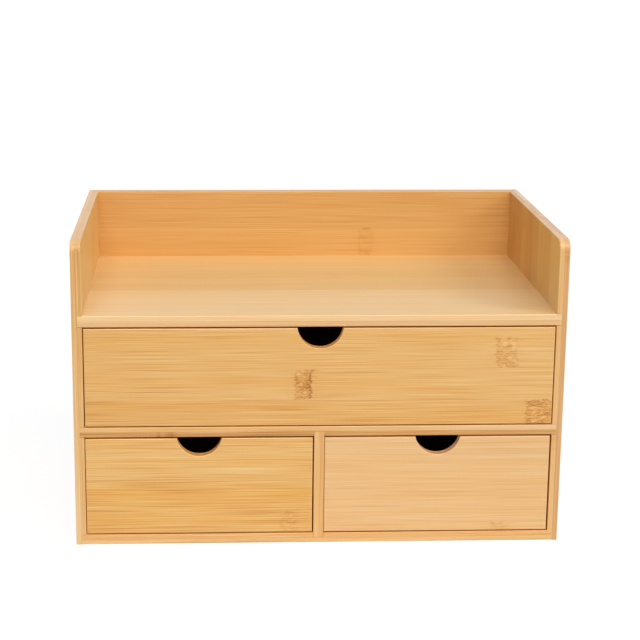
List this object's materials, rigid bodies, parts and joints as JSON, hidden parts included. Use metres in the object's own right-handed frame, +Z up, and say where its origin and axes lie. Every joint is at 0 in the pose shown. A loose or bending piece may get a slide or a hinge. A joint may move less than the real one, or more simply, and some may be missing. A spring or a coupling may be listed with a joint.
{
  "type": "desktop mini drawers",
  "caption": "Desktop bamboo drawer case with a full-width drawer over half-width drawers, half-round finger notches and an open tray on top.",
  "frame": {"origin": "under the middle of the case, on the surface that it stands on", "axes": "+X to the right as seen from the front, +Y to the back, +Z up; the drawers pull out along -Y"},
  "size_m": [0.42, 0.255, 0.268],
  "materials": {
    "case_bamboo": "clear satin lacquer on laminated bamboo",
    "front_bamboo": "clear satin lacquer on laminated bamboo",
    "box_bamboo": "sanded bamboo, thin lacquer",
    "thin_panel": "sanded bamboo plywood, thin lacquer"
  },
  "bodies": {
    "case": {"left_side_panel": "case_bamboo", "right_side_panel": "case_bamboo", "bottom_board": "case_bamboo", "middle_board": "case_bamboo", "shelf_board": "case_bamboo", "centre_divider": "case_bamboo", "tray_back_board": "case_bamboo", "case_back_panel": "thin_panel"},
    "top_drawer": {"top_drawer_front": "front_bamboo", "top_drawer_left_side": "box_bamboo", "top_drawer_right_side": "box_bamboo", "top_drawer_back": "box_bamboo", "top_drawer_bottom": "thin_panel"},
    "left_drawer": {"left_drawer_front": "front_bamboo", "left_drawer_left_side": "box_bamboo", "left_drawer_right_side": "box_bamboo", "left_drawer_back": "box_bamboo", "left_drawer_bottom": "thin_panel"},
    "right_drawer": {"right_drawer_front": "front_bamboo", "right_drawer_left_side": "box_bamboo", "right_drawer_right_side": "box_bamboo", "right_drawer_back": "box_bamboo", "right_drawer_bottom": "thin_panel"}
  },
  "joints": [
    {"name": "top_drawer_slide", "type": "slide", "parent": "case", "child": "top_drawer", "axis": [0, -1, 0], "range_m": [0, 0.22]},
    {"name": "left_drawer_slide", "type": "slide", "parent": "case", "child": "left_drawer", "axis": [0, -1, 0], "range_m": [0, 0.22]},
    {"name": "right_drawer_slide", "type": "slide", "parent": "case", "child": "right_drawer", "axis": [0, -1, 0], "range_m": [0, 0.22]}
  ]
}
